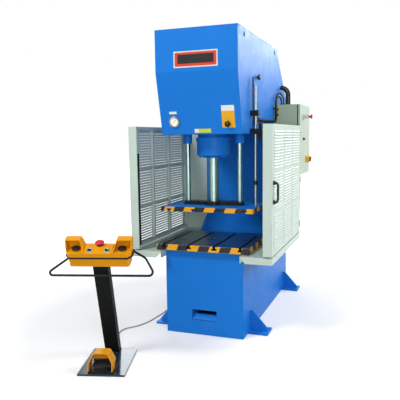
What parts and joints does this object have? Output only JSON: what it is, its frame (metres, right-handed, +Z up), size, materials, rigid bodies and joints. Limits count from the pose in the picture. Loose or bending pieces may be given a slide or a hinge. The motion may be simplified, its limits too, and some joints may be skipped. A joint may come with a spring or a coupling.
{
  "type": "c-frame hydraulic press",
  "caption": "Floor-standing C-frame hydraulic press with a guided ram, T-slot table, hinged louvred side guards, electrical cabinet and a two-hand control pedestal.",
  "frame": {"origin": "on the floor under the ram's axis", "axes": "+X to the operator's right, +Y to the rear, +Z up along the ram's axis"},
  "size_m": [1.2997, 2.485, 2.2054],
  "materials": {
    "blue_paint": "semi-gloss machine enamel",
    "table_steel": "ground steel, darkened by oil",
    "hazard_tape": "yellow and black hazard tape",
    "tank_grey": "grey enamel",
    "black_paint": "gloss black enamel",
    "cream_paint": "satin cream-grey powder coat",
    "hinge_zinc": "zinc plated",
    "cabinet_paint": "satin grey-cream powder coat",
    "module_grey": "moulded grey",
    "black_plastic": "moulded black",
    "dial_white": "matt white",
    "gauge_glass": "clear",
    "plate_yellow": "satin yellow plate",
    "console_yellow": "semi-gloss orange-yellow enamel",
    "cable_grey": "matt grey sheath",
    "ground_steel": "hard chromed and ground",
    "red_plastic": "moulded red"
  },
  "bodies": {
    "frame": {"left_side_plate": "blue_paint", "right_side_plate": "blue_paint", "base_plates": "blue_paint", "throat_web": "blue_paint", "head_plate": "blue_paint", "head_front_cover": "blue_paint", "top_rear_cover": "blue_paint", "anchor_feet": "blue_paint", "bolster_table": "table_steel", "table_edge_tape": "hazard_tape", "cylinder_barrel": "blue_paint", "cylinder_gland": "blue_paint", "guide_bushes": "blue_paint", "oil_tank": "tank_grey", "power_unit": "tank_grey", "limit_switch_bracket": "black_paint", "guard_trays": "cream_paint", "rear_guard_panels": "cream_paint", "guard_hinges": "hinge_zinc", "cabinet_body": "cabinet_paint", "cabinet_gasket": "black_plastic", "cabinet_panel": "module_grey", "conduits": "black_plastic", "gauge_case": "hinge_zinc", "gauge_dial": "dial_white", "gauge_lens": "gauge_glass", "front_plates": "plate_yellow", "pedestal_plate": "black_paint", "pedestal_column": "black_paint", "console_lower_shell": "console_yellow", "console_rail": "black_paint", "console_upper_shell": "console_yellow", "pedal_base": "black_plastic", "pedal_hood": "console_yellow", "control_cable": "cable_grey"},
    "ram": {"piston_rod": "ground_steel", "ram_yoke": "black_paint", "ram_platen": "blue_paint", "platen_edge_tape": "hazard_tape", "guide_columns": "ground_steel", "limit_rod": "ground_steel", "stop_collar": "black_paint"},
    "right_guard": {"right_door_panel": "cream_paint", "right_door_frame": "cream_paint", "right_door_handle": "black_plastic"},
    "left_guard": {"left_door_panel": "cream_paint", "left_door_frame": "cream_paint", "left_door_strip": "black_plastic"},
    "cabinet_front": {"cabinet_door": "cabinet_paint", "main_switch_plate": "plate_yellow"},
    "main_switch": {"main_switch_handle": "red_plastic"},
    "cabinet_stop": {"cabinet_stop_button": "red_plastic"},
    "needle": {"gauge_needle": "black_plastic"},
    "knob": {"pressure_knob": "black_plastic"},
    "left_palm": {"left_palm_button": "black_plastic"},
    "right_palm": {"right_palm_button": "black_plastic"},
    "console_stop": {"console_stop_button": "red_plastic"},
    "left_push": {"left_push_button": "black_plastic"},
    "right_push": {"right_push_button": "black_plastic"},
    "pedal": {"pedal_treadle": "black_plastic"}
  },
  "joints": [
    {"name": "ram_slide", "type": "slide", "parent": "frame", "child": "ram", "axis": [0, 0, 1], "range_m": [-0.16, 0.29]},
    {"name": "right_guard_swing", "type": "hinge", "parent": "frame", "child": "right_guard", "pos_m": [0.536, 0.723, 1.0975], "axis": [0, 0, 1], "range_deg": [0, 90]},
    {"name": "left_guard_swing", "type": "hinge", "parent": "frame", "child": "left_guard", "pos_m": [-0.536, 0.723, 1.0975], "axis": [0, 0, 1], "range_deg": [-90, 0]},
    {"name": "cabinet_door_swing", "type": "hinge", "parent": "frame", "child": "cabinet_front", "pos_m": [0.514, 1.268, 1.43], "axis": [0, 0, 1], "range_deg": [0, 100]},
    {"name": "main_switch_turn", "type": "hinge", "parent": "cabinet_front", "child": "main_switch", "pos_m": [0.53, 1.086, 1.253], "axis": [1, 0, 0], "range_deg": [-90, 0]},
    {"name": "cabinet_stop_press", "type": "slide", "parent": "cabinet_front", "child": "cabinet_stop", "axis": [1, 0, 0], "range_m": [-0.006, 0], "stiffness_N_per_m": 1200, "springref_m": 0.001},
    {"name": "gauge_needle_turn", "type": "hinge", "parent": "frame", "child": "needle", "pos_m": [-0.196, -0.28569, 1.577], "axis": [0, -0.9728, -0.2318], "range_deg": [-90, 180]},
    {"name": "pressure_knob_turn", "type": "hinge", "parent": "frame", "child": "knob", "pos_m": [0.205, -0.28068, 1.556], "axis": [0, -0.9728, -0.2318], "continuous": true},
    {"name": "left_palm_press", "type": "slide", "parent": "frame", "child": "left_palm", "axis": [0.0928, -0.3258, 0.9409], "range_m": [-0.004, 0], "stiffness_N_per_m": 1200, "springref_m": 0.002},
    {"name": "right_palm_press", "type": "slide", "parent": "frame", "child": "right_palm", "axis": [0.0928, -0.3258, 0.9409], "range_m": [-0.004, 0], "stiffness_N_per_m": 1200, "springref_m": 0.002},
    {"name": "console_stop_press", "type": "slide", "parent": "frame", "child": "console_stop", "axis": [0.0928, -0.3258, 0.9409], "range_m": [-0.004, 0], "stiffness_N_per_m": 1500, "springref_m": 0.002},
    {"name": "left_push_press", "type": "slide", "parent": "frame", "child": "left_push", "axis": [0.1579, -0.5544, 0.8171], "range_m": [-0.003, 0], "stiffness_N_per_m": 600, "springref_m": 0.002},
    {"name": "right_push_press", "type": "slide", "parent": "frame", "child": "right_push", "axis": [0.1579, -0.5544, 0.8171], "range_m": [-0.003, 0], "stiffness_N_per_m": 600, "springref_m": 0.002},
    {"name": "pedal_swing", "type": "hinge", "parent": "frame", "child": "pedal", "pos_m": [-0.41694, -0.99036, 0.05], "axis": [0.9617, 0.274, 0], "range_deg": [0, 12], "stiffness_Nm_per_rad": 8, "springref_deg": -11.46}
  ]
}
